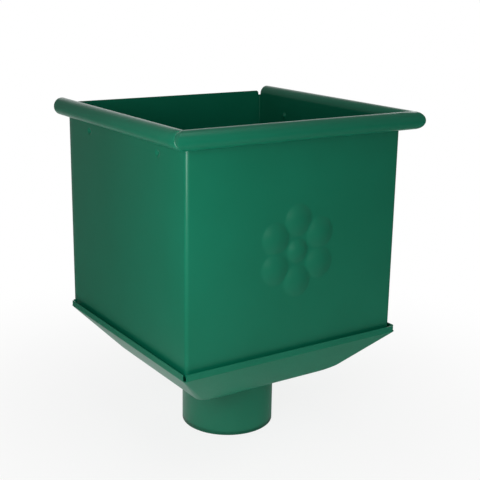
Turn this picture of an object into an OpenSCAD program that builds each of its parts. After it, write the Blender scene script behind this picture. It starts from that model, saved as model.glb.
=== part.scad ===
// Square rainwater hopper head of painted steel sheet. An open box with a rolled lip on
// three sides and a flat back stands in the turned-up rim of a tapered bottom pan, and a
// round spigot carries the water down into a downpipe.
// Millimetres. The origin is the middle of the spigot's lower end, +Z is up, the front
// faces -Y and the flat back lies in a plane facing +Y.

/* [Box] */
// Width over the outer faces of the side walls
box_w = 222; // [190:1:300]
// Depth from the outer face of the front wall to the mounting plane at the back
box_d = 222; // [190:1:300]
// Height from the rim's lower edge to the axis of the rolled lip
wall_h = 200.6; // [160:0.1:280]
// Thickness of the painted sheet
sheet_t = 0.6; // [0.5:0.1:1]
// Outer radius of the bends at the two front corners
corner_r = 3.5; // [2:0.5:6]
// Outer radius of the bends at the two rear corners
rear_bend_r = 1.5; // [1.2:0.1:3]
// Width of the flanges that are turned in behind the back panel
rear_flange_w = 16; // [10:1:30]
// Distance from the lip's axis down to the top of the rear flanges
rear_flange_drop = 1; // [0.5:0.1:8]
// Width of the flanges that are turned in at the foot and lie on the pan
foot_flange_w = 14; // [8:1:20]

/* [Rolled lip] */
// Outer diameter of the rolled lip
roll_d = 16.2; // [12:0.1:24]
// Angle through which the lip is rolled, from the wall over the top and back
roll_turn = 330; // [270:1:334]
// Distance by which the front roll's end reaches round the corner on to the side roll
seam_set_back = 6.4; // [4:0.1:9]
// Angle by which that seam leans back towards its top
seam_lean = 16.7; // [0:0.1:25]
// Width of the seam
seam_gap = 0.3; // [0.2:0.1:1]

/* [Back panel] */
// Height of the back panel's top edge above the lip's axis
back_rise = 3.4; // [0:0.1:8]
// Gap between the back panel's side edge and the side wall
back_edge_gap = 2.3; // [1.2:0.1:4]
// Radius of the back panel's two top corners
back_corner_r = 3; // [1:0.5:8]

/* [Bottom pan] */
// Height of the pan from its floor to the rim's lower edge
pan_drop = 48; // [30:0.1:60]
// Distance by which each sloping side comes in on its way to the floor
pan_inset = 44.5; // [38:0.5:48]
// Corner radius of the pan at the foot of its flat slopes
slope_corner_r = 4.5; // [2:0.5:8]
// Corner radius of the pan's floor
floor_corner_r = 34; // [12:1:40]
// Radius of the bend between the slopes and the floor
floor_bend_r = 30; // [16:1:32]
// Distance from the wall's outer face to the rim's outer face
rim_standoff = 4; // [3.5:0.1:8]
// Height of the turned-up rim
rim_h = 5.9; // [4:0.1:12]
// Radius of the rim's corners and of the bend along its lower edge
rim_r = 1.5; // [1.2:0.1:3]
// Distance by which each strip of the rim stops short of the corner
rim_notch = 2.2; // [2:0.1:6]

/* [Outlet spigot] */
// Outer diameter of the spigot
outlet_d = 88; // [70:1:110]
// Length of the spigot below the pan's floor
outlet_h = 55.3; // [40:0.1:90]
// Width of the collar that lies on the pan's floor
collar_w = 8; // [4:1:12]
// Inner radius of the bend between the spigot and its collar
collar_bend_r = 0.7; // [0.4:0.1:2]

/* [Fits] */
// Sealant gap between sheets that lap each other
lap = 0.1; // [0.05:0.05:0.3]
// Radial clearance between the bend of the spigot's collar and the edge of the pan's hole
hole_clearance = 0.2; // [0.1:0.05:0.5]

/* [Pressed marks] */
// Diameter of the small dimples pressed into the side walls
dimple_d = 5; // [3:0.5:8]
// Depth of those dimples
dimple_depth = 1.6; // [0.8:0.1:2.4]
// Distance of the dimples from the middle of each side wall
dimple_y = 65; // [30:1:85]
// Distance of the dimples below the lip's axis
dimple_drop = 18.6; // [14:0.1:60]
// Number of petals of the rosette on the front wall
petals = 6; // [5:1:8]
// Diameter of each petal at its foot
petal_d = 28; // [16:1:30]
// Radius of the circle on which the petals are centred
petal_circle_r = 27; // [22:1:36]
// Diameter of the boss in the middle of the rosette
boss_d = 21; // [12:1:24]
// Height to which the petals and the boss are pressed out
relief_h = 2.4; // [1:0.1:4]
// Height of the rosette's middle above the rim's lower edge
rosette_rise = 95; // [70:1:120]

/* [Hidden] */
$fn = 64;
// Steps in the bend at the pan's rim, in the bend at its floor and round each corner
rim_bend_steps = 4;
floor_bend_steps = 8;
corner_steps = 8;
// Far enough to reach past any edge of the object
reach = box_w + box_d;
paint = "#1c6b4d";
paint_inside = "#17583f";

floor_z = outlet_h;
rim_z = floor_z + pan_drop;
roll_z = rim_z + wall_h;
roll_r = roll_d / 2;
half_w = box_w / 2;

// Over its rim the pan stands out before the front wall and stands inside the back panel,
// and the spigot is in the middle of it
rim_half_w = half_w + rim_standoff;
pan_d = rim_standoff + box_d - 2 * (sheet_t + lap);
rim_front_y = -pan_d / 2;
rim_rear_y = pan_d / 2;
front_y = rim_front_y + rim_standoff;
back_y = front_y + box_d;
panel_rear_y = back_y - sheet_t - lap;

// The pan's side in section: u runs inwards from the rim's outer face, z upwards
slope = atan(pan_drop / pan_inset);
rim_bend_c = [rim_r, rim_z + rim_r * tan((90 - slope) / 2)];
floor_bend_c = [pan_inset + floor_bend_r * tan(slope / 2), floor_z + floor_bend_r];

function arc_point(c, r, phi) = [c.x - r * sin(phi), c.y - r * cos(phi)];
function bend(c, r, from, to, steps) =
    [for (k = [0:steps]) arc_point(c, r, from + (to - from) * k / steps)];
function pan_profile(depth) = concat(
    bend(rim_bend_c, rim_r - depth, 90, slope, rim_bend_steps),
    bend(floor_bend_c, floor_bend_r - depth, slope, 0, floor_bend_steps));

// Corner radius of the pan at a distance u from the rim, on a face that lies depth inside.
// It grows slowly down the flat slope, and fast round the bend into the floor.
slope_end = floor_bend_c.x - floor_bend_r * sin(slope);
bend_end = floor_bend_c.x;
function pan_corner(u, depth) =
    let (
        down = min(u / slope_end, 1),
        turned = max(0, min((u - slope_end) / (bend_end - slope_end), 1))
    )
    rim_r + (slope_corner_r - rim_r) * down
        + (floor_corner_r - slope_corner_r) * turned - depth;

// One closed ring round the pan: a rectangle with round corners at height z
function pan_ring(u, z, r) = [
    for (q = [0:3]) for (k = [0:corner_steps])
        let (
            a = 90 * (q + k / corner_steps),
            sx = (q == 0 || q == 3) ? 1 : -1,
            sy = q < 2 ? 1 : -1,
            cx = sx * (rim_half_w - u - r),
            cy = sy > 0 ? rim_rear_y - u - r : rim_front_y + u + r
        )
        [cx + r * cos(a), cy + r * sin(a), z]];

// Height of the foot flange's lower face, on the pan's slope, at a distance s inside the
// wall's outer face
function seat_z(s) =
    rim_z - (rim_standoff + s) * tan(slope) + (sheet_t + lap) / cos(slope);

// Distance along the wall, from the corner of the box, at which the pan's slope starts to
// round into its corner
function corner_start(s) = s + max(corner_r, pan_corner(rim_standoff + s, 0));

// Height at which the walls end over the pan's corners and its rear slope
relief_z = rim_bend_c.y + lap;
pan_rear_y = rim_rear_y - rim_standoff;
rear_flange_top = roll_z - rear_flange_drop;

// A quarter-circle offcut for a corner at the origin that lies towards +x and +y
module corner_offcut(r) {
    difference() {
        translate([-1, -1])
            square(r + 1);
        translate([r, r])
            circle(r);
    }
}

// Plan of the folded box, drawn in by a depth from its outer faces
module box_plan(depth) {
    w = half_w - depth;
    difference() {
        translate([-w, front_y + depth])
            square([2 * w, box_d - 2 * depth]);
        for (side = [0, 1])
            mirror([side, 0]) {
                translate([-w, front_y + depth])
                    corner_offcut(corner_r - depth);
                translate([-w, back_y - depth])
                    mirror([0, 1])
                        corner_offcut(rear_bend_r - depth);
            }
    }
}

// Plan of the three walls with their rear flanges
module wall_plan() {
    difference() {
        box_plan(0);
        box_plan(sheet_t);
        translate([-half_w + rear_flange_w, 0])
            square([box_w - 2 * rear_flange_w, reach]);
    }
}

// Space to the left of the mitre plane at the front left corner, from a distance behind
// the plane on
module left_of_mitre(back) {
    translate([-half_w, front_y, 0])
        rotate(45)
            translate([-reach, back, 0])
                cube([2 * reach, reach, reach]);
}

module before_mitre() {
    translate([-half_w, front_y, 0])
        rotate(45)
            translate([-reach, -reach, 0])
                cube([2 * reach, reach, reach]);
}

// Space behind the plane in which the left roll is seamed to the front roll's end, from a
// distance behind the plane on
module behind_seam(back) {
    ridge_y = front_y + sheet_t - roll_d;
    translate([0, ridge_y + seam_set_back, roll_z])
        rotate([-seam_lean, 0, 0])
            translate([-reach, back, -reach])
                cube(2 * reach);
}

// Section of the rolled lip: the wall's inner face is tangent at x = roll_r, and the
// sheet turns over the top and back towards the wall below
module roll_section() {
    difference() {
        circle(roll_r);
        circle(roll_r - sheet_t);
        polygon([
            [0, 0],
            2 * roll_r * [cos(roll_turn), sin(roll_turn)],
            2 * roll_r * [cos(roll_turn / 2 + 180), sin(roll_turn / 2 + 180)],
            [2 * roll_r, 0]]);
    }
}

// The rolls of the left and the front wall as straight lengths, past the corners
module left_length() {
    translate([-half_w + sheet_t - roll_r, back_y - rear_bend_r, roll_z])
        rotate([90, 0, 0])
            linear_extrude(box_d + roll_d)
                roll_section();
}

module front_length() {
    translate([-half_w - roll_d, front_y + sheet_t - roll_r, roll_z])
        rotate([90, 0, 90])
            linear_extrude(box_w + 2 * roll_d)
                roll_section();
}

// The left roll ends at the mitre, and on its outer side already at the seam
module left_roll() {
    intersection() {
        left_length();
        left_of_mitre(seam_gap);
        behind_seam(seam_gap / 2);
    }
}

// What the front roll's end covers of the left roll's outer side. It reaches past the mitre
// by less than can be measured, because it is one sheet with the front roll at every size.
module left_return() {
    shared = 0.00000001;
    difference() {
        intersection() {
            left_length();
            left_of_mitre(-shared);
        }
        behind_seam(-seam_gap / 2);
    }
}

module front_roll() {
    intersection() {
        front_length();
        before_mitre();
        mirror([1, 0, 0])
            before_mitre();
    }
}

// Section of the foot flange: x runs inwards from the wall's outer face
module foot_section() {
    end = foot_flange_w;
    rise = sheet_t / cos(slope);
    polygon([
        [0, seat_z(0)],
        [end, seat_z(end)],
        [end, seat_z(end) + rise],
        [sheet_t, seat_z(sheet_t) + rise],
        [0, seat_z(sheet_t) + rise]]);
}

// The foot flanges, whose ends are cut at a slant to stay on the flat of the pan's slopes
module left_foot() {
    end = foot_flange_w;
    intersection() {
        translate([-half_w, back_y, 0])
            rotate([90, 0, 0])
                linear_extrude(box_d)
                    foot_section();
        linear_extrude(reach)
            polygon([
                [-half_w, front_y + corner_start(0)],
                [-half_w + end, front_y + corner_start(end)],
                [-half_w + end, pan_rear_y - corner_start(end)],
                [-half_w, pan_rear_y - corner_start(0)]]);
    }
}

module front_foot() {
    end = foot_flange_w;
    intersection() {
        translate([-half_w, front_y, 0])
            rotate([90, 0, 90])
                linear_extrude(box_w)
                    foot_section();
        linear_extrude(reach)
            polygon([
                [-half_w + corner_start(0), front_y],
                [-half_w + corner_start(end), front_y + end],
                [half_w - corner_start(end), front_y + end],
                [half_w - corner_start(0), front_y]]);
    }
}

// What is cut from the foot of the walls so that they clear the pan's corners and its
// rear slope
module foot_relief() {
    side = 2 * rim_standoff + corner_start(0);
    for (end = [0, 1])
        mirror([end, 0, 0])
            translate([-half_w - 2 * rim_standoff, front_y - 2 * rim_standoff, 0])
                cube([side, side, relief_z]);
    translate([-reach / 2, pan_rear_y - corner_start(0), 0])
        cube([reach, reach, relief_z]);
}

// A ball that stands out of a face at z = 0 by h and meets it in a circle of diameter d,
// made smaller by a depth so that the sheet keeps its thickness
module pressed_ball(d, h, depth) {
    ball_r = (d * d / 4 + h * h) / (2 * h);
    translate([0, 0, h - ball_r])
        sphere(ball_r - depth);
}

// The rosette's balls, standing out of a face at z = 0
module rosette(depth) {
    pressed_ball(boss_d, relief_h, depth);
    for (k = [0:petals - 1])
        rotate(360 * (k + 0.5) / petals)
            translate([petal_circle_r, 0])
                pressed_ball(petal_d, relief_h, depth);
}

// Places what stands out of z = 0 on the outer face of the front wall
module on_front() {
    translate([0, front_y, rim_z + rosette_rise])
        rotate([90, 0, 0])
            children();
}

// Places what stands out of z = 0 at the dimples, pointing into the box
module at_dimples() {
    for (side = [0, 1], end = [-1, 1])
        mirror([side, 0, 0])
            translate([-half_w, (front_y + back_y) / 2 + end * dimple_y, roll_z - dimple_drop])
                rotate([0, 90, 0])
                    children();
}

// Front and side walls, folded from one sheet, with the lip rolled outwards, the rear
// edges and the foot turned in, a pressed rosette and four pressed dimples
module hopper_wrap() {
    color(paint)
        difference() {
            union() {
                translate([0, 0, seat_z(0)])
                    linear_extrude(roll_z - seat_z(0))
                        wall_plan();
                for (side = [0, 1])
                    mirror([side, 0, 0]) {
                        left_roll();
                        left_return();
                        left_foot();
                    }
                front_roll();
                front_foot();
                on_front()
                    intersection() {
                        rosette(0);
                        translate([-reach / 2, -reach / 2, -sheet_t / 2])
                            cube(reach);
                    }
                at_dimples()
                    intersection() {
                        pressed_ball(dimple_d + 2 * sheet_t, dimple_depth + sheet_t, 0);
                        cylinder(h = roll_d, d = 2 * dimple_d);
                    }
            }
            on_front()
                rosette(sheet_t);
            at_dimples()
                pressed_ball(dimple_d + 2 * sheet_t, dimple_depth + sheet_t, sheet_t);
            foot_relief();
            // The rear flanges end below the lip
            translate([-reach / 2, back_y - rear_bend_r, rear_flange_top])
                cube([reach, reach, reach]);
        }
}

// Flat back panel, which stands inside the rear flanges
module back_panel() {
    w = half_w - sheet_t - back_edge_gap;
    top = roll_z + back_rise;
    foot = relief_z;
    color(paint_inside)
        translate([0, panel_rear_y, 0])
            rotate([90, 0, 0])
                linear_extrude(sheet_t)
                    difference() {
                        translate([-w, foot])
                            square([2 * w, top - foot]);
                        for (side = [0, 1])
                            mirror([side, 0])
                                translate([-w, top])
                                    mirror([0, 1])
                                        corner_offcut(back_corner_r);
                    }
}

// A solid tub whose side follows the pan's profile, drawn in by a depth. Its top is
// carried up by a height past the rim bend.
module tub(depth, up) {
    side = pan_profile(depth);
    levels = concat([[side[0].x, side[0].y + up]], side);
    count = 4 * (corner_steps + 1);
    points = [for (p = levels) each pan_ring(p.x, p.y, pan_corner(p.x, depth))];
    last = (len(levels) - 1) * count;
    walls = [
        for (i = [0:len(levels) - 2], k = [0:count - 1])
            let (a = i * count + k, b = i * count + (k + 1) % count)
            each [[a, b, b + count], [a, b + count, a + count]]];
    lid = [for (k = [0:count - 1]) count - 1 - k];
    base = [for (k = [0:count - 1]) last + k];
    polyhedron(points = points, faces = concat([lid], walls, [base]));
}

// The turned-up strips of the rim, standing on the rim bend
module rim_strips() {
    strip_z = rim_bend_c.y - sheet_t / 2;
    strip_h = rim_z + rim_h - strip_z;
    front_w = rim_half_w - rim_notch;
    rear_w = half_w - 2 * sheet_t;
    side_d = rim_rear_y - rim_front_y - 2 * rim_notch;
    translate([-front_w, rim_front_y, strip_z])
        cube([2 * front_w, sheet_t, strip_h]);
    translate([-rear_w, rim_rear_y - sheet_t, strip_z])
        cube([2 * rear_w, sheet_t, strip_h]);
    for (side = [0, 1])
        mirror([side, 0, 0])
            translate([-rim_half_w, rim_front_y + rim_notch, strip_z])
                cube([sheet_t, side_d, strip_h]);
}

// Tapered bottom pan, pressed from one sheet
module bottom_pan() {
    color(paint)
        difference() {
            union() {
                difference() {
                    tub(0, 0);
                    tub(sheet_t, wall_h);
                }
                rim_strips();
            }
            translate([0, 0, floor_z - sheet_t])
                cylinder(h = 3 * sheet_t, r = outlet_d / 2 + collar_bend_r + hole_clearance);
        }
}

// Round spigot, put through the pan's hole from above so that its collar lies on the
// floor
module outlet_spigot() {
    r = outlet_d / 2;
    collar_z = floor_z + sheet_t + lap;
    bend_out = collar_bend_r + sheet_t;
    color(paint)
        rotate_extrude($fn = 128) {
            translate([r - sheet_t, 0])
                square([sheet_t, collar_z - collar_bend_r]);
            translate([r + collar_bend_r, collar_z])
                square([collar_w - collar_bend_r, sheet_t]);
            // The bend turns outwards round a centre that lies outside the tube
            intersection() {
                translate([r + collar_bend_r, collar_z - collar_bend_r])
                    difference() {
                        circle(bend_out);
                        circle(collar_bend_r);
                    }
                translate([r - sheet_t, collar_z - collar_bend_r])
                    square(bend_out);
            }
        }
}

hopper_wrap();
back_panel();
bottom_pan();
outlet_spigot();
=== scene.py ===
import math

import bmesh
import bpy
from mathutils import Matrix, Vector


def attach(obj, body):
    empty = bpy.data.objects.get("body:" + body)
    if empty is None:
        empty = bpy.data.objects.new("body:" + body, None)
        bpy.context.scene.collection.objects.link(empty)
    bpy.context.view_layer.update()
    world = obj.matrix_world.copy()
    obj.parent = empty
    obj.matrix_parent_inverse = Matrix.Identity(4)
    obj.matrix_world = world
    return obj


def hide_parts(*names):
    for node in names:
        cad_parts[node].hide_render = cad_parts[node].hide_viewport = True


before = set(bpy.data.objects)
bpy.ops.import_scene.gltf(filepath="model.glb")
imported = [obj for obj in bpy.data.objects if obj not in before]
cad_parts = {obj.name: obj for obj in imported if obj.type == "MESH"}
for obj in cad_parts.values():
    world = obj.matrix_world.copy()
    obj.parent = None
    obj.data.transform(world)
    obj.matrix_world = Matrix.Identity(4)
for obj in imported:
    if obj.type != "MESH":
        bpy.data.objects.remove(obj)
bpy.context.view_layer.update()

# Folded box. Front and both side walls are one blank of 0.6 mm steel sheet, coated green,
# folded at the two front corners. Its top is rolled outwards into an open lip, its rear
# edges and its foot are turned in as flanges, and four dimples and a rosette are pressed.

# Sizes are in mm. A sheet is modelled as its inner face, and gets its thickness at the end.
SHEET = 0.6
HALF_W = 111.0
FRONT_Y = -108.3
BACK_Y = 113.7
WALL_FOOT_Z = 104.0
LIP_Z = 303.9
CORNER_R = 3.5
CORNER_BEND_STEPS = 10
REAR_BEND_R = 1.5
REAR_BEND_STEPS = 5
REAR_FLANGE_END_X = 95.0
REAR_FLANGE_TOP_Z = 302.9
INNER_X = HALF_W - SHEET
INNER_Y = FRONT_Y + SHEET
# How near two places are the same, two points are merged, a cut snaps to a point, and an
# edge counts as a wall's
SAME = 0.01
MERGED = 0.005
SNAP = 0.0001
AT_WALL = 1.0

LIP_R = 8.1
LIP_TURN = math.radians(330)
LIP_STEPS = 88
SEAM_GAP = 0.3
SEAM_Y = -117.5
SEAM_LEAN = math.radians(16.7)
# At the seam the side roll's edge is curled in, and the front roll's end is drawn in so
# that the curl shows. Both fade out towards the mitre.
CURL_R = 0.9
CURL_ROWS = (0.1, 0.25, 0.5, 0.9)
END_SINK = 0.9
END_W = 2.1
END_ROWS = 3
MITRE_CLEAR = 0.5
MITRE_FADE = 3.0

# The foot flange lies on the pan's slope, which comes in by 44.5 mm over 48 mm of height
PAN_SLOPE = math.atan(48.0 / 44.5)
PAN_REAR_Y = 108.3
FOOT_BEND_Z = 100.25
FOOT_W = 13.4
FOOT_START = 3.5
FOOT_END = 17.5

DIMPLE_Z = 285.3
DIMPLE_YS = (-62.3, 67.7)
DIMPLE_DEPTH = 1.6
DIMPLE_FOOT_R = 4.0
DIMPLE_REACH = 4.2
DIMPLE_CELL = 0.42

ROSETTE_Z = 198.3
ROSETTE_REACH = 43.0
ROSETTE_CELL = 1.1
PETALS = 6
PETAL_R = 14.0
PETAL_CIRCLE_R = 27.0
BOSS_R = 10.5
RELIEF = 2.4
PRESS_SOFTNESS = 0.35

CUT_EDGE_ROUND = 0.14
CUT_EDGE_SEGMENTS = 2
CUT_EDGE_ANGLE = math.radians(35)
METRES = 0.001


def run(bm, verts, offset, steps):
    """Draws a row of vertices on by an offset, in equal steps, and returns the last row."""
    for _ in range(steps):
        made = bmesh.ops.extrude_vert_indiv(bm, verts=verts)
        verts = made["verts"]
        bmesh.ops.translate(bm, verts=verts, vec=Vector(offset) / steps)
    return verts


def turn(bm, geom, centre, axis, angle, steps):
    """Spins vertices or edges round an axis and returns what ends the spin."""
    made = bmesh.ops.spin(bm, geom=geom, cent=centre, axis=axis, angle=angle, steps=steps)
    return made["geom_last"]


def only(geom, kind):
    """The vertices, edges or faces of a mixed list."""
    return [g for g in geom if isinstance(g, kind)]


def draw_up(bm, edges, offset):
    """Extrudes a row of edges into a row of faces and returns its far edges."""
    made = bmesh.ops.extrude_edge_only(bm, edges=edges)["geom"]
    verts = only(made, bmesh.types.BMVert)
    bmesh.ops.translate(bm, verts=verts, vec=offset)
    far = set(verts)
    return [e for e in only(made, bmesh.types.BMEdge) if far.issuperset(e.verts)]


def steps_between(start, stop, cell):
    """The heights of rows of cells between two heights."""
    count = max(1, round((stop - start) / cell))
    return [start + (stop - start) * k / count for k in range(1, count + 1)]


def pressed(distance, foot_r, height):
    """Height of a ball pressed out of a flat sheet, at a distance from its middle."""
    ball_r = (foot_r ** 2 + height ** 2) / (2 * height) - SHEET
    sink = ball_r - height
    if distance >= ball_r:
        return -sink
    return math.sqrt(ball_r ** 2 - distance ** 2) - sink


def soft_step(value):
    """Rounds the foot of a pressed shape, where the value passes zero."""
    return 0.5 * (value + math.sqrt(value ** 2 + PRESS_SOFTNESS ** 2))


def rosette_height(x, z):
    """Relief of the rosette: six domed petals about a domed boss, softly joined."""
    height = pressed(math.hypot(x, z), BOSS_R, RELIEF)
    for k in range(PETALS):
        a = math.tau * (k + 0.5) / PETALS
        off = math.hypot(x - PETAL_CIRCLE_R * math.cos(a), z - PETAL_CIRCLE_R * math.sin(a))
        petal = pressed(off, PETAL_R, RELIEF)
        height = 0.5 * (height + petal
                        + math.sqrt((height - petal) ** 2 + PRESS_SOFTNESS ** 2))
    return soft_step(height)


def dimple_depth(y, z):
    """Depth of the nearest dimple, whose round pit runs out softly into the wall."""
    off = min(math.hypot(y - dimple_y, z - DIMPLE_Z) for dimple_y in DIMPLE_YS)
    return DIMPLE_DEPTH * max(0, 1 - (off / DIMPLE_FOOT_R) ** 2) ** 2


def press_marks(bm):
    """Pushes the rosette out of the front wall and the dimples into the side walls."""
    for v in bm.verts:
        x, y, z = v.co
        if abs(y - INNER_Y) < SAME and max(abs(x), abs(z - ROSETTE_Z)) < ROSETTE_REACH:
            v.co.y -= rosette_height(x, z - ROSETTE_Z)
        elif abs(abs(x) - INNER_X) < SAME and abs(z - DIMPLE_Z) < DIMPLE_REACH:
            v.co.x -= math.copysign(dimple_depth(y, z), x)


def half_wall_plan(bm):
    """The left half of the walls in plan, from the front's middle to the rear flange."""
    end = [bm.verts.new((0, INNER_Y, WALL_FOOT_Z))]
    end = run(bm, end, (-ROSETTE_REACH, 0, 0), round(ROSETTE_REACH / ROSETTE_CELL))
    end = run(bm, end, (-(HALF_W - CORNER_R - ROSETTE_REACH), 0, 0), 1)
    centre = (-HALF_W + CORNER_R, FRONT_Y + CORNER_R, WALL_FOOT_Z)
    end = turn(bm, end, centre, (0, 0, -1), math.pi / 2, CORNER_BEND_STEPS)
    y = FRONT_Y + CORNER_R
    cells = round(2 * DIMPLE_REACH / DIMPLE_CELL)
    for dimple_y in DIMPLE_YS:
        end = run(bm, end, (0, dimple_y - DIMPLE_REACH - y, 0), 1)
        end = run(bm, end, (0, 2 * DIMPLE_REACH, 0), cells)
        y = dimple_y + DIMPLE_REACH
    for stop in (PAN_REAR_Y - FOOT_START, BACK_Y - REAR_BEND_R):
        end = run(bm, end, (0, stop - y, 0), 1)
        y = stop
    centre = (-HALF_W + REAR_BEND_R, BACK_Y - REAR_BEND_R, WALL_FOOT_Z)
    end = turn(bm, end, centre, (0, 0, -1), math.pi / 2, REAR_BEND_STEPS)
    run(bm, end, (HALF_W - REAR_BEND_R - REAR_FLANGE_END_X, 0, 0), 1)


def add_foot_flanges(bm):
    """Turns the foot of the three walls in, on to the slopes of the pan."""
    low = [e for e in bm.edges if all(abs(v.co.z - WALL_FOOT_Z) < SAME for v in e.verts)]
    fall = FOOT_W * math.tan(PAN_SLOPE)
    skew = FOOT_END - FOOT_START
    reach_x = HALF_W - CORNER_R + SAME
    front = [e for e in low
             if all(v.co.y < FRONT_Y + AT_WALL and abs(v.co.x) < reach_x for v in e.verts)]
    skirt = draw_up(bm, front, (0, 0, FOOT_BEND_Z - WALL_FOOT_Z))
    flange = draw_up(bm, skirt, (0, FOOT_W, -fall))
    for v in {v for e in flange for v in e.verts}:
        if abs(v.co.x) > HALF_W - FOOT_END:
            v.co.x -= math.copysign(skew, v.co.x)
    start_y, stop_y = FRONT_Y + CORNER_R - SAME, PAN_REAR_Y - FOOT_START + SAME
    for side in (-1, 1):
        wall = [e for e in low
                if all(v.co.x * side > HALF_W - AT_WALL and start_y < v.co.y < stop_y
                       for v in e.verts)]
        skirt = draw_up(bm, wall, (0, 0, FOOT_BEND_Z - WALL_FOOT_Z))
        flange = draw_up(bm, skirt, (-side * FOOT_W, 0, -fall))
        for v in {v for e in flange for v in e.verts}:
            if v.co.y < FRONT_Y + FOOT_END:
                v.co.y += skew
            if v.co.y > PAN_REAR_Y - FOOT_END:
                v.co.y -= skew


def mitre_point(sign):
    """Where the mitre of a front corner crosses the walls, at the height of the lip."""
    return Vector((sign * HALF_W, FRONT_Y, LIP_Z))


def seam_plane():
    """A point of the leaning seam plane, and the direction behind it."""
    return (Vector((0, SEAM_Y, LIP_Z)),
            Vector((0, math.cos(SEAM_LEAN), -math.sin(SEAM_LEAN))))


def split(bm, before, point, normal, clear=False):
    """Cuts the faces that are new since before along a plane, and may drop what lies on the
    side to which its normal points."""
    faces = [f for f in bm.faces if f not in before]
    geom = dict.fromkeys(faces + [part for f in faces for part in (*f.edges, *f.verts)])
    bmesh.ops.bisect_plane(bm, geom=list(geom), dist=SNAP, plane_co=point,
                           plane_no=normal, clear_outer=clear)


def cut_seam(bm, before, sign):
    """Cuts the open seam of a front corner: the side roll ends at the mitre, and on its
    outer side already at the end of the front roll, which is drawn on round the corner."""
    past_mitre = Vector((-sign, -1, 0)).normalized()
    seam, behind = seam_plane()
    split(bm, before, mitre_point(sign), past_mitre, True)
    split(bm, before, mitre_point(sign) - SEAM_GAP * past_mitre, past_mitre)
    edge = SEAM_GAP / 2
    rows = [-END_W * k / END_ROWS for k in range(END_ROWS, 0, -1)]
    rows += [-edge, edge] + [edge + row for row in CURL_ROWS]
    for row in rows:
        split(bm, before, seam + row * behind, behind)
    open_faces = []
    for f in bm.faces:
        if f in before:
            continue
        middle = f.calc_center_median()
        back = (middle - seam).dot(behind)
        near_mitre = (middle - mitre_point(sign)).dot(past_mitre) > -SEAM_GAP
        if abs(back) < edge or (back > 0 and near_mitre):
            open_faces.append(f)
    bmesh.ops.delete(bm, geom=open_faces, context="FACES")


def draw_in_seam(bm):
    """Curls the side roll's edge in at the seam, and draws in the front roll's end."""
    seam, behind = seam_plane()
    for v in bm.verts:
        sign = math.copysign(1, v.co.x)
        before_mitre = (v.co - mitre_point(sign)).dot(Vector((sign, 1, 0)).normalized())
        if v.co.z < LIP_Z - LIP_R - SAME or before_mitre < MITRE_CLEAR:
            continue
        back = (v.co - seam).dot(behind)
        from_edge = back - SEAM_GAP / 2
        if -SAME < from_edge < CURL_R:
            rise = CURL_R - max(from_edge, 0)
            sink = CURL_R - math.sqrt(CURL_R ** 2 - rise ** 2)
        elif -END_W < back < 0:
            sink = END_SINK * (1 + back / END_W) ** 2
        else:
            continue
        axis = Vector((sign * (INNER_X + LIP_R), v.co.y, LIP_Z))
        fade = min((before_mitre - MITRE_CLEAR) / MITRE_FADE, 1)
        v.co += (axis - v.co).normalized() * sink * fade


def add_lip(bm):
    """Rolls the top of each wall outwards, and joins the rolls at the front corners."""
    past = CORNER_R + 2 * LIP_R
    for side in ("front", "left", "right"):
        before = set(bm.faces)
        top = [e for e in bm.edges if all(abs(v.co.z - LIP_Z) < SAME for v in e.verts)]
        if side == "front":
            own = [e for e in top if all(abs(v.co.y - INNER_Y) < SAME for v in e.verts)]
            centre, axis = (0, INNER_Y - LIP_R, LIP_Z), (-1, 0, 0)
            ends = [(min, (-past, 0, 0)), (max, (past, 0, 0))]
            along = 0
        else:
            sign = -1 if side == "left" else 1
            inner = sign * INNER_X
            own = [e for e in top if all(abs(v.co.x - inner) < SAME for v in e.verts)]
            centre, axis = (inner + sign * LIP_R, 0, LIP_Z), (0, -sign, 0)
            ends = [(min, (0, -past, 0))]
            along = 1
        row = {v for e in own for v in e.verts}
        chain = list(own)
        for pick, offset in ends:
            last = pick(row, key=lambda v: v.co[along])
            made = bmesh.ops.extrude_vert_indiv(bm, verts=[last])
            bmesh.ops.translate(bm, verts=made["verts"], vec=offset)
            chain += made["edges"]
        geom = chain + list(dict.fromkeys(v for e in chain for v in e.verts))
        turn(bm, geom, centre, axis, -LIP_TURN, LIP_STEPS)
        if side == "front":
            for sign in (-1, 1):
                outwards = Vector((sign, 1, 0)).normalized()
                split(bm, before, mitre_point(sign), outwards, True)
        else:
            cut_seam(bm, before, sign)


def put_in_order(bm):
    """Sorts a mesh's parts. Operators leave them in another order at each run, and what a
    merge, a thickness or a bevel gives depends on that order."""
    for parts, key in ((bm.verts, lambda v: v.co[:]),
                       (bm.edges, lambda e: sorted(v.index for v in e.verts)),
                       (bm.faces, lambda f: sorted(v.index for v in f.verts))):
        rank = {part: k for k, part in enumerate(sorted(parts, key=key))}
        parts.sort(key=rank.get)
        parts.index_update()


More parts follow.
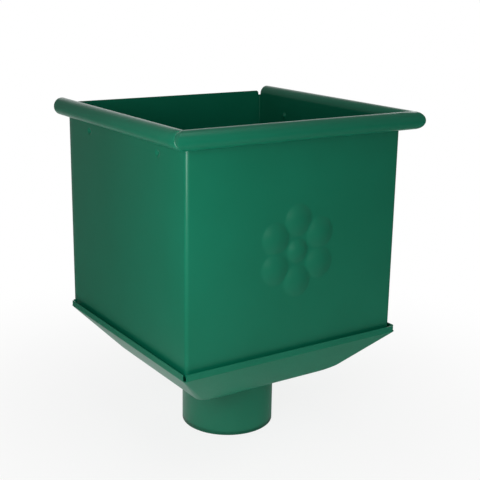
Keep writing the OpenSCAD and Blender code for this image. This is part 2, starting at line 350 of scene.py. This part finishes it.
def hopper_sheet():
    """The inner face of the walls, the outer face of the lip, and the foot flanges."""
    bm = bmesh.new()
    half_wall_plan(bm)
    bmesh.ops.mirror(bm, geom=bm.verts[:] + bm.edges[:], axis="X", merge_dist=SAME)

    rows = [ROSETTE_Z - ROSETTE_REACH]
    rows += steps_between(rows[-1], ROSETTE_Z + ROSETTE_REACH, ROSETTE_CELL)
    rows += [DIMPLE_Z - DIMPLE_REACH]
    rows += steps_between(rows[-1], DIMPLE_Z + DIMPLE_REACH, DIMPLE_CELL)
    rows += [REAR_FLANGE_TOP_Z, LIP_Z]
    top, z = bm.edges[:], WALL_FOOT_Z
    for row in rows:
        top = draw_up(bm, top, (0, 0, row - z))
        z = row
    # The rear flanges and their bends end below the lip
    high = [f for f in bm.faces if f.calc_center_median().z > REAR_FLANGE_TOP_Z
            and f.calc_center_median().y > BACK_Y - REAR_BEND_R]
    bmesh.ops.delete(bm, geom=high, context="FACES")

    add_foot_flanges(bm)
    add_lip(bm)
    put_in_order(bm)
    bmesh.ops.remove_doubles(bm, verts=bm.verts, dist=MERGED)
    # Every face looks into the box, or away from the middle of the roll that it is in
    bmesh.ops.recalc_face_normals(bm, faces=bm.faces)
    front = next(f for f in bm.faces if all(abs(v.co.y - INNER_Y) < SAME for v in f.verts))
    if front.normal.y < 0:
        bmesh.ops.reverse_faces(bm, faces=bm.faces)
    draw_in_seam(bm)
    press_marks(bm)
    return bm


def finish_piece(bm, name):
    """Makes an object of a bmesh: gives the sheet its thickness and rounds its cut edges."""
    put_in_order(bm)
    bmesh.ops.scale(bm, verts=bm.verts, vec=(METRES, METRES, METRES))
    mesh = bpy.data.meshes.new(name)
    bm.to_mesh(mesh)
    bm.free()
    piece = bpy.data.objects.new(name, mesh)
    bpy.context.scene.collection.objects.link(piece)
    mesh.polygons.foreach_set("use_smooth", [True] * len(mesh.polygons))
    sheet = piece.modifiers.new("sheet", "SOLIDIFY")
    sheet.thickness = SHEET * METRES
    sheet.offset = -1
    sheet.use_even_offset = True
    sheet.use_quality_normals = True
    edges = piece.modifiers.new("cut edges", "BEVEL")
    edges.width = CUT_EDGE_ROUND * METRES
    edges.segments = CUT_EDGE_SEGMENTS
    edges.limit_method = "ANGLE"
    edges.angle_limit = CUT_EDGE_ANGLE
    edges.harden_normals = True
    return piece


def linear(colour):
    """An sRGB hex colour as linear RGBA."""
    values = [int(colour[k:k + 2], 16) / 255 for k in (1, 3, 5)]
    return [v / 12.92 if v <= 0.04045 else ((v + 0.055) / 1.055) ** 2.4
            for v in values] + [1.0]


def add_node(tree, kind, settings=(), links=()):
    """Adds a node, sets its properties and sockets, and links other nodes into it."""
    node = tree.nodes.new(kind)
    for key, value in dict(settings).items():
        if isinstance(key, str) and hasattr(node, key):
            setattr(node, key, value)
        else:
            node.inputs[key].default_value = value
    for socket, source in dict(links).items():
        tree.links.new(source, node.inputs[socket])
    return node


def coil_coated_steel():
    """Polyester coil coating on steel sheet, roller applied and stoved: a satin skin with
    a faint orange peel, a little darker and lighter from place to place."""
    mat = bpy.data.materials.new("coil_coated_green_steel")
    mat.use_nodes = True
    tree = mat.node_tree
    shader = tree.nodes["Principled BSDF"]
    shader.inputs["IOR"].default_value = 1.5
    place = add_node(tree, "ShaderNodeTexCoord").outputs["Object"]
    # The coating's thickness drifts over some 60 mm
    drift = add_node(tree, "ShaderNodeTexNoise", {"Scale": 1 / 0.06, "Detail": 2.0},
                     {"Vector": place}).outputs["Fac"]
    tint = add_node(tree, "ShaderNodeMix",
                    {"data_type": "RGBA", 6: linear("#066a4e"), 7: linear("#0a7256")},
                    {"Factor": drift}).outputs[2]
    # Orange peel has cells of about 1 mm. It is drawn at 2.5 mm so that it shows.
    peel = add_node(tree, "ShaderNodeTexNoise", {"Scale": 1 / 0.0025, "Detail": 3.0},
                    {"Vector": place}).outputs["Fac"]
    rough = add_node(tree, "ShaderNodeMapRange", {"To Min": 0.27, "To Max": 0.35},
                     {"Value": peel}).outputs["Result"]
    # A sheet this thin lies in waves some 90 mm long
    wave = add_node(tree, "ShaderNodeTexNoise", {"Scale": 1 / 0.09, "Detail": 1.0},
                    {"Vector": place}).outputs["Fac"]
    waved = add_node(tree, "ShaderNodeBump", {"Strength": 0.25, "Distance": 0.0012},
                     {"Height": wave}).outputs["Normal"]
    peeled = add_node(tree, "ShaderNodeBump", {"Strength": 0.12, "Distance": 0.00006},
                      {"Height": peel, "Normal": waved}).outputs["Normal"]
    for source, socket in ((tint, "Base Color"), (rough, "Roughness"), (peeled, "Normal")):
        tree.links.new(source, shader.inputs[socket])
    return mat


paint = coil_coated_steel()
hopper = finish_piece(hopper_sheet(), "hopper_sheet")
hopper.data.materials.append(paint)
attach(hopper, "root")
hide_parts("hopper_wrap")

# Back panel. A flat piece of the same sheet with two round corners at the top, which stands
# inside the rear flanges and closes the box towards the wall.

PANEL_HALF_W = 108.1
PANEL_TOP_Z = 307.3
PANEL_REAR_Y = 113.0
PANEL_CORNER_R = 3.0
PANEL_CORNER_STEPS = 8

bm = bmesh.new()
corners = [bm.verts.new((x, PANEL_REAR_Y, z)) for x, z in (
    (-PANEL_HALF_W, WALL_FOOT_Z), (-PANEL_HALF_W, PANEL_TOP_Z),
    (PANEL_HALF_W, PANEL_TOP_Z), (PANEL_HALF_W, WALL_FOOT_Z))]
bm.faces.new(corners)
bmesh.ops.bevel(bm, geom=corners[1:3], affect="VERTICES", offset=PANEL_CORNER_R,
                offset_type="OFFSET", segments=PANEL_CORNER_STEPS, profile=0.5, material=-1)
panel = finish_piece(bm, "back_sheet")
panel.data.materials.append(paint)
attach(panel, "root")
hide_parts("back_panel")

# Bottom pan. Pressed from one piece of the same sheet: its edge is turned up as a rim that
# is notched at the corners, its sides slope in to a floor with round corners, and a hole
# takes the spigot.

RIM_HALF_W = 115.0
RIM_HALF_D = 112.3
RIM_Z = 103.3
RIM_R = 1.5
RIM_TOP_Z = 109.2
RIM_NOTCH = 2.2
RIM_BEND_STEPS = 6
RIM_MIN_LENGTH = 100.0
FLOOR_Z = 55.3
FLOOR_BEND_R = 30.0
FLOOR_BEND_STEPS = 18
PAN_INSET = 44.5
SLOPE_CORNER_R = 4.5
FLOOR_CORNER_R = 34.0
PAN_CORNER_STEPS = 16
RING_CORNERS = 4 * (PAN_CORNER_STEPS + 1)
HOLE_R = 44.9
# Insets at which the floor starts, and at which the flat slope ends in the floor's bend
BEND_END = PAN_INSET + FLOOR_BEND_R * math.tan(PAN_SLOPE / 2)
SLOPE_END = BEND_END - FLOOR_BEND_R * math.sin(PAN_SLOPE)


def pan_ring(bm, inset, z):
    """One closed ring round the pan: a rectangle with round corners. They grow slowly down
    the flat slope, and fast round the bend into the floor."""
    down = min(inset / SLOPE_END, 1)
    turned = max(0, min((inset - SLOPE_END) / (BEND_END - SLOPE_END), 1))
    radius = (RIM_R + (SLOPE_CORNER_R - RIM_R) * down
              + (FLOOR_CORNER_R - SLOPE_CORNER_R) * turned)
    x, y = RIM_HALF_W - inset, RIM_HALF_D - inset
    corners = [bm.verts.new((sx * x, sy * y, z))
               for sx, sy in ((1, 1), (-1, 1), (-1, -1), (1, -1))]
    bm.faces.new(corners)
    bmesh.ops.bevel(bm, geom=corners, affect="VERTICES", offset=radius,
                    offset_type="OFFSET", segments=PAN_CORNER_STEPS, profile=0.5, material=-1)
    face = next(f for f in bm.faces if len(f.verts) == RING_CORNERS
                and abs(f.calc_center_median().z - z) < SAME)
    edges = face.edges[:]
    bmesh.ops.delete(bm, geom=[face], context="FACES_ONLY")
    return edges


def pan_section():
    """Inset and height of each ring, from the rim's bend down to the floor."""
    rim_c = (RIM_R, RIM_Z + RIM_R * math.tan((math.pi / 2 - PAN_SLOPE) / 2))
    floor_c = (BEND_END, FLOOR_Z + FLOOR_BEND_R)
    points = []
    for (u, z), r, start, stop, steps in (
            (rim_c, RIM_R, math.pi / 2, PAN_SLOPE, RIM_BEND_STEPS),
            (floor_c, FLOOR_BEND_R, PAN_SLOPE, 0, FLOOR_BEND_STEPS)):
        for k in range(steps + 1):
            a = start + (stop - start) * k / steps
            points.append((u - r * math.sin(a), z - r * math.cos(a)))
    return points


bm = bmesh.new()
section = pan_section()
rings = [pan_ring(bm, inset, z) for inset, z in section]
hole = bmesh.ops.create_circle(bm, cap_ends=False, radius=HOLE_R, segments=RING_CORNERS,
                               matrix=Matrix.Translation((0, 0, FLOOR_Z)))["verts"]
rings.append(list(dict.fromkeys(e for v in hole for e in v.link_edges)))
for upper, lower in zip(rings, rings[1:]):
    bmesh.ops.bridge_loops(bm, edges=upper + lower)
# The four strips of the rim stand on the long edges of the top ring, and each ends short
# of the corner, which leaves the notch
for edge in [e for e in rings[0] if e.calc_length() > RIM_MIN_LENGTH]:
    low = draw_up(bm, [edge], (0, 0, 0))
    start, stop = low[0].verts
    middle = (start.co + stop.co) / 2
    along = (start.co - middle).normalized()
    for v in low[0].verts:
        v.co -= math.copysign(RIM_NOTCH - RIM_R, (v.co - middle).dot(along)) * along
    draw_up(bm, low, (0, 0, RIM_TOP_Z - section[0][1]))
bmesh.ops.remove_doubles(bm, verts=bm.verts, dist=MERGED)
bmesh.ops.recalc_face_normals(bm, faces=bm.faces)
pan = finish_piece(bm, "pan_sheet")
pan.data.materials.append(paint)
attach(pan, "root")
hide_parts("bottom_pan")

# Outlet spigot. A tube of the same sheet, with a collar turned out at its top that lies on
# the floor of the pan. Its lower end goes into the downpipe.

SPIGOT_R = 44.0
SPIGOT_TOP_Z = 55.3
SPIGOT_STEPS = 144
COLLAR_BEND_R = 0.7
COLLAR_BEND_STEPS = 5
COLLAR_R = 52.0

bm = bmesh.new()
end = [bm.verts.new((SPIGOT_R, 0, 0))]
end = run(bm, end, (0, 0, SPIGOT_TOP_Z), 1)
end = turn(bm, end, (SPIGOT_R + COLLAR_BEND_R, 0, SPIGOT_TOP_Z), (0, 1, 0), math.pi / 2,
           COLLAR_BEND_STEPS)
run(bm, only(end, bmesh.types.BMVert), (COLLAR_R - SPIGOT_R - COLLAR_BEND_R, 0, 0), 1)
bmesh.ops.spin(bm, geom=bm.verts[:] + bm.edges[:], cent=(0, 0, 0), axis=(0, 0, 1),
               angle=math.tau, steps=SPIGOT_STEPS, use_merge=True)
bmesh.ops.recalc_face_normals(bm, faces=bm.faces)
spigot = finish_piece(bm, "spigot_sheet")
spigot.data.materials.append(paint)
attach(spigot, "root")
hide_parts("outlet_spigot")

# Studio. A pale board as the floor, soft boxes round the object, and a camera that looks at
# the front from its left and from a little above. Its sizes are in metres.

scene = bpy.context.scene
scene.view_settings.view_transform = "Standard"

# The camera's place, turns and lens were fitted to the edges of the object
camera = bpy.data.cameras.new("camera")
camera.sensor_width = 36
camera.lens = 72.035
viewer = bpy.data.objects.new("camera", camera)
scene.collection.objects.link(viewer)
viewer.matrix_world = (Matrix.Translation((-0.48112, -0.74267, 0.42473))
                       @ Matrix.Rotation(-0.58655, 4, "Z")
                       @ Matrix.Rotation(math.pi / 2 - 0.26742, 4, "X")
                       @ Matrix.Rotation(0.01564, 4, "Z"))
scene.camera = viewer


def soft_lamp(name, place, aim, size, watts):
    """A soft box that the camera doesn't see."""
    lamp = bpy.data.lights.new(name, "AREA")
    lamp.shape = "RECTANGLE"
    lamp.size, lamp.size_y = size
    lamp.energy = watts
    holder = bpy.data.objects.new(name, lamp)
    scene.collection.objects.link(holder)
    holder.visible_camera = False
    holder.location = place
    holder.rotation_euler = (Vector(aim) - Vector(place)).to_track_quat("-Z", "Y").to_euler()
    return holder


soft_lamp("softbox_corner", (-0.36, -0.3, 0.31), (-0.05, -0.05, 0.22), (0.2, 0.2), 1.2)
soft_lamp("softbox_front", (-0.1, -1.3, 0.29), (0, 0, 0.2), (0.8, 0.4), 0.7)
soft_lamp("softbox_high", (-0.2, -0.9, 1.0), (0, 0, 0.2), (0.6, 0.6), 1.2)
soft_lamp("softbox_top", (0, -0.3, 1.4), (0, 0, 0.2), (1.0, 1.0), 4.0)
soft_lamp("backdrop", (0.6, 0.95, 0.4), (0, 0, 0.25), (1.4, 0.8), 3.3)
soft_lamp("softbox_right", (1.1, 0.35, 0.45), (0, 0, 0.2), (0.8, 0.6), 3.0)
# What the lit board sends up. How it is mirrored is set in its own material.
upward = soft_lamp("board_light", (0, -0.1, 0.003), (0, -0.1, 1), (0.9, 0.9), 1.7)
upward.visible_glossy = False


def seen_white(tree):
    """1 for rays that see the background itself or through something clear, and 1 for
    rays that see it mirrored."""
    rays = add_node(tree, "ShaderNodeLightPath").outputs
    white = add_node(tree, "ShaderNodeMath", {"operation": "MAXIMUM"},
                     {0: rays["Is Camera Ray"], 1: rays["Is Transmission Ray"]}).outputs[0]
    return white, rays["Is Glossy Ray"]


# The room is white where it is seen. For the coat's colour and in its gloss it is dimmer.
ROOM_LIGHT = 0.02
ROOM_MIRRORED = 0.21

world = bpy.data.worlds.new("studio")
world.use_nodes = True
scene.world = world
tree = world.node_tree
white, mirrored = seen_white(tree)
dimmed = add_node(tree, "ShaderNodeMapRange", {"To Min": ROOM_LIGHT, "To Max": ROOM_MIRRORED},
                  {"Value": mirrored}).outputs["Result"]
strength = add_node(tree, "ShaderNodeMath", {"operation": "MAXIMUM"},
                    {0: white, 1: dimmed}).outputs[0]
room = tree.nodes["Background"]
room.inputs["Color"].default_value = linear("#ffffff")
tree.links.new(strength, room.inputs["Strength"])

# How bright the board glows where it is mirrored, near the object and far from it, from its
# front right to its rear left. This mirrored glow is painted light on the board. Near the
# object it is dimmed as a painted shadow of the object, least towards its rear left. In the
# direction of the sweep it rises behind the object and is brighter.
NEAR_FRONT = 0.12
NEAR_REAR = 0.52
FAR_FRONT = 0.07
FAR_REAR = 0.11
REAR_LEFT = (-0.6, 0.8, 0)
SWEEP_MIRRORED = 0.6
SWEEP = (0.55, 0.83, 0)
BOARD_R = 3.0
BOARD_SEGMENTS = 96

bm = bmesh.new()
bmesh.ops.create_circle(bm, cap_ends=True, radius=BOARD_R, segments=BOARD_SEGMENTS)
mesh = bpy.data.meshes.new("floor")
bm.to_mesh(mesh)
bm.free()
floor = bpy.data.objects.new("floor", mesh)
scene.collection.objects.link(floor)
# Board painted matt white, which scatters nearly all of its light
mat = bpy.data.materials.new("matt_white_board")
mat.use_nodes = True
tree = mat.node_tree
board = tree.nodes["Principled BSDF"]
board.inputs["Base Color"].default_value = linear("#f2f2f0")
board.inputs["Roughness"].default_value = 0.9
board.inputs["Specular IOR Level"].default_value = 0.1
place = add_node(tree, "ShaderNodeTexCoord").outputs["Object"]
distance = add_node(tree, "ShaderNodeVectorMath", {"operation": "LENGTH"},
                    {0: place}).outputs["Value"]
heading = add_node(tree, "ShaderNodeVectorMath", {"operation": "NORMALIZE"},
                   {0: place}).outputs["Vector"]
behind, ahead = (
    add_node(tree, "ShaderNodeVectorMath", {"operation": "DOT_PRODUCT", 1: direction},
             {0: source}).outputs["Value"]
    for source, direction in ((place, REAR_LEFT), (heading, SWEEP)))
# Each row: what is mapped, from where to where, and from which value to which. The board runs
# out into the white of the background away from the object. The near row is the painted
# shadow of the object in the mirrored glow.
away, near, far, in_sweep, outside = (
    add_node(tree, "ShaderNodeMapRange",
             {"interpolation_type": "SMOOTHSTEP", "From Min": start, "From Max": stop,
              "To Min": low, "To Max": high}, {"Value": source}).outputs["Result"]
    for source, start, stop, low, high in (
        (distance, 0.08, 0.5, 0.84, 1),
        (behind, -0.1, 0.1, NEAR_FRONT, NEAR_REAR),
        (behind, -0.4, 0.4, FAR_FRONT, FAR_REAR),
        (ahead, 0.5, 0.8, 0, 1),
        (distance, 0.12, 0.35, 0, 1)))
far = add_node(tree, "ShaderNodeMix", {"data_type": "FLOAT", 3: SWEEP_MIRRORED},
               {0: in_sweep, 2: far}).outputs[0]
bright = add_node(tree, "ShaderNodeMix", {"data_type": "FLOAT"},
                  {0: outside, 2: near, 3: far}).outputs[0]
white, mirrored = seen_white(tree)
share = add_node(tree, "ShaderNodeMath", {"operation": "MULTIPLY"},
                 {0: white, 1: away}).outputs[0]
share = add_node(tree, "ShaderNodeMath", {"operation": "MAXIMUM"},
                 {0: share, 1: mirrored}).outputs[0]
strength = add_node(tree, "ShaderNodeMath", {"operation": "MAXIMUM"},
                    {0: white, 1: bright}).outputs[0]
glow = add_node(tree, "ShaderNodeEmission", {"Color": linear("#ffffff")},
                {"Strength": strength}).outputs[0]
both = add_node(tree, "ShaderNodeMixShader", {},
                {0: share, 1: board.outputs[0], 2: glow}).outputs[0]
tree.links.new(both, tree.nodes["Material Output"].inputs["Surface"])
floor.data.materials.append(mat)
